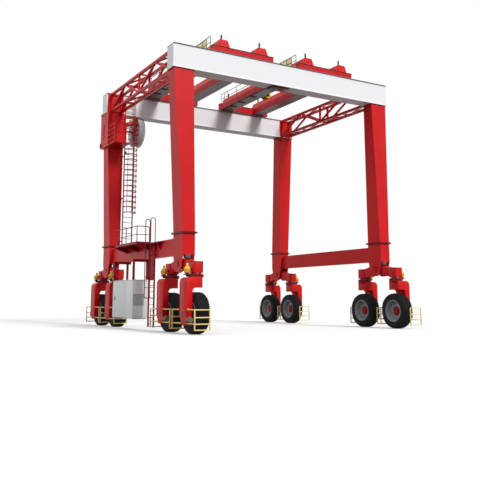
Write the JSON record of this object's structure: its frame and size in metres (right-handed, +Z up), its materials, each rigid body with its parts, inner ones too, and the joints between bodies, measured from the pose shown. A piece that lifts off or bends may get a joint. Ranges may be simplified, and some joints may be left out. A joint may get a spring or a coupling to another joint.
{
  "type": "rubber tyred gantry crane",
  "caption": "Rubber tyred gantry crane: box girders on tapered legs, lattice end trusses, rocking bogies with steered wheels, overhead trolleys, ladder and platform.",
  "frame": {"origin": "floor level under the middle of the crane", "axes": "+X along the span, +Y along the travel, +Z up"},
  "size_m": [12.935, 13.943, 14.27],
  "materials": {
    "red_paint": "semi gloss enamel",
    "white_paint": "semi gloss enamel",
    "tyre": "matt black rubber",
    "yellow_paint": "semi gloss enamel",
    "light_grey_paint": "powder coat",
    "reel_metal": "galvanised steel"
  },
  "bodies": {
    "frame": {"front_girder": "white_paint", "rear_girder": "white_paint", "leg_a": "red_paint", "leg_b": "red_paint", "leg_c": "red_paint", "leg_d": "red_paint", "sill_left": "red_paint", "sill_right": "red_paint", "truss_left": "red_paint", "truss_right": "red_paint", "leg_box": "red_paint", "caged_ladder": "red_paint", "platform": "red_paint", "ground_ladder": "red_paint", "cabinet": "light_grey_paint", "reel_bracket": "red_paint"},
    "reel": {"cable_reel": "reel_metal"},
    "trolley_1": {"trolley_1_frame": "red_paint", "trolley_1_walkway": "yellow_paint"},
    "trolley_2": {"trolley_2_frame": "red_paint", "trolley_2_walkway": "yellow_paint"},
    "bogie_a": {"balance_a": "red_paint", "motors_a": "yellow_paint"},
    "steer_a1": {"fork_a1": "red_paint"},
    "spin_a1": {"wheel_a1": "tyre"},
    "steer_a2": {"fork_a2": "red_paint"},
    "spin_a2": {"wheel_a2": "tyre"},
    "bogie_b": {"balance_b": "red_paint", "motors_b": "yellow_paint"},
    "steer_b1": {"fork_b1": "red_paint"},
    "spin_b1": {"wheel_b1": "tyre"},
    "steer_b2": {"fork_b2": "red_paint"},
    "spin_b2": {"wheel_b2": "tyre"},
    "bogie_c": {"balance_c": "red_paint", "motors_c": "yellow_paint"},
    "steer_c1": {"fork_c1": "red_paint"},
    "spin_c1": {"wheel_c1": "tyre"},
    "steer_c2": {"fork_c2": "red_paint"},
    "spin_c2": {"wheel_c2": "tyre"},
    "bogie_d": {"balance_d": "red_paint", "motors_d": "yellow_paint"},
    "steer_d1": {"fork_d1": "red_paint"},
    "spin_d1": {"wheel_d1": "tyre"},
    "steer_d2": {"fork_d2": "red_paint"},
    "spin_d2": {"wheel_d2": "tyre"}
  },
  "joints": [
    {"name": "trolley_1_travel", "type": "slide", "parent": "frame", "child": "trolley_1", "axis": [1, 0, 0], "range_m": [-2, 0.7]},
    {"name": "trolley_2_travel", "type": "slide", "parent": "frame", "child": "trolley_2", "axis": [1, 0, 0], "range_m": [-0.7, 1.75]},
    {"name": "reel_turn", "type": "hinge", "parent": "frame", "child": "reel", "pos_m": [-4.45, 4.4805, 11.05], "axis": [1, 0, 0], "continuous": true},
    {"name": "rock_a", "type": "hinge", "parent": "frame", "child": "bogie_a", "pos_m": [-5.675, -4.675, 2.97], "axis": [1, 0, 0], "range_deg": [-2.5, 2.5]},
    {"name": "steer_turn_a1", "type": "hinge", "parent": "bogie_a", "child": "steer_a1", "pos_m": [-5.675, -5.8765, 2.4], "axis": [0, 0, 1], "range_deg": [0, 90]},
    {"name": "wheel_roll_a1", "type": "hinge", "parent": "steer_a1", "child": "spin_a1", "pos_m": [-5.675, -5.8765, 0.875], "axis": [1, 0, 0], "continuous": true},
    {"name": "steer_turn_a2", "type": "hinge", "parent": "bogie_a", "child": "steer_a2", "pos_m": [-5.675, -3.4735, 2.4], "axis": [0, 0, 1], "range_deg": [0, 90]},
    {"name": "wheel_roll_a2", "type": "hinge", "parent": "steer_a2", "child": "spin_a2", "pos_m": [-5.675, -3.4735, 0.875], "axis": [1, 0, 0], "continuous": true},
    {"name": "rock_b", "type": "hinge", "parent": "frame", "child": "bogie_b", "pos_m": [-5.675, 4.675, 2.97], "axis": [1, 0, 0], "range_deg": [-2.5, 2.5]},
    {"name": "steer_turn_b1", "type": "hinge", "parent": "bogie_b", "child": "steer_b1", "pos_m": [-5.675, 5.8765, 2.4], "axis": [0, 0, 1], "range_deg": [0, 90]},
    {"name": "wheel_roll_b1", "type": "hinge", "parent": "steer_b1", "child": "spin_b1", "pos_m": [-5.675, 5.8765, 0.875], "axis": [1, 0, 0], "continuous": true},
    {"name": "steer_turn_b2", "type": "hinge", "parent": "bogie_b", "child": "steer_b2", "pos_m": [-5.675, 3.4735, 2.4], "axis": [0, 0, 1], "range_deg": [0, 90]},
    {"name": "wheel_roll_b2", "type": "hinge", "parent": "steer_b2", "child": "spin_b2", "pos_m": [-5.675, 3.4735, 0.875], "axis": [1, 0, 0], "continuous": true},
    {"name": "rock_c", "type": "hinge", "parent": "frame", "child": "bogie_c", "pos_m": [5.675, -4.675, 2.97], "axis": [1, 0, 0], "range_deg": [-2.5, 2.5]},
    {"name": "steer_turn_c1", "type": "hinge", "parent": "bogie_c", "child": "steer_c1", "pos_m": [5.675, -5.8765, 2.4], "axis": [0, 0, 1], "range_deg": [0, 90]},
    {"name": "wheel_roll_c1", "type": "hinge", "parent": "steer_c1", "child": "spin_c1", "pos_m": [5.675, -5.8765, 0.875], "axis": [1, 0, 0], "continuous": true},
    {"name": "steer_turn_c2", "type": "hinge", "parent": "bogie_c", "child": "steer_c2", "pos_m": [5.675, -3.4735, 2.4], "axis": [0, 0, 1], "range_deg": [0, 90]},
    {"name": "wheel_roll_c2", "type": "hinge", "parent": "steer_c2", "child": "spin_c2", "pos_m": [5.675, -3.4735, 0.875], "axis": [1, 0, 0], "continuous": true},
    {"name": "rock_d", "type": "hinge", "parent": "frame", "child": "bogie_d", "pos_m": [5.675, 4.675, 2.97], "axis": [1, 0, 0], "range_deg": [-2.5, 2.5]},
    {"name": "steer_turn_d1", "type": "hinge", "parent": "bogie_d", "child": "steer_d1", "pos_m": [5.675, 5.8765, 2.4], "axis": [0, 0, 1], "range_deg": [0, 90]},
    {"name": "wheel_roll_d1", "type": "hinge", "parent": "steer_d1", "child": "spin_d1", "pos_m": [5.675, 5.8765, 0.875], "axis": [1, 0, 0], "continuous": true},
    {"name": "steer_turn_d2", "type": "hinge", "parent": "bogie_d", "child": "steer_d2", "pos_m": [5.675, 3.4735, 2.4], "axis": [0, 0, 1], "range_deg": [0, 90]},
    {"name": "wheel_roll_d2", "type": "hinge", "parent": "steer_d2", "child": "spin_d2", "pos_m": [5.675, 3.4735, 0.875], "axis": [1, 0, 0], "continuous": true}
  ]
}
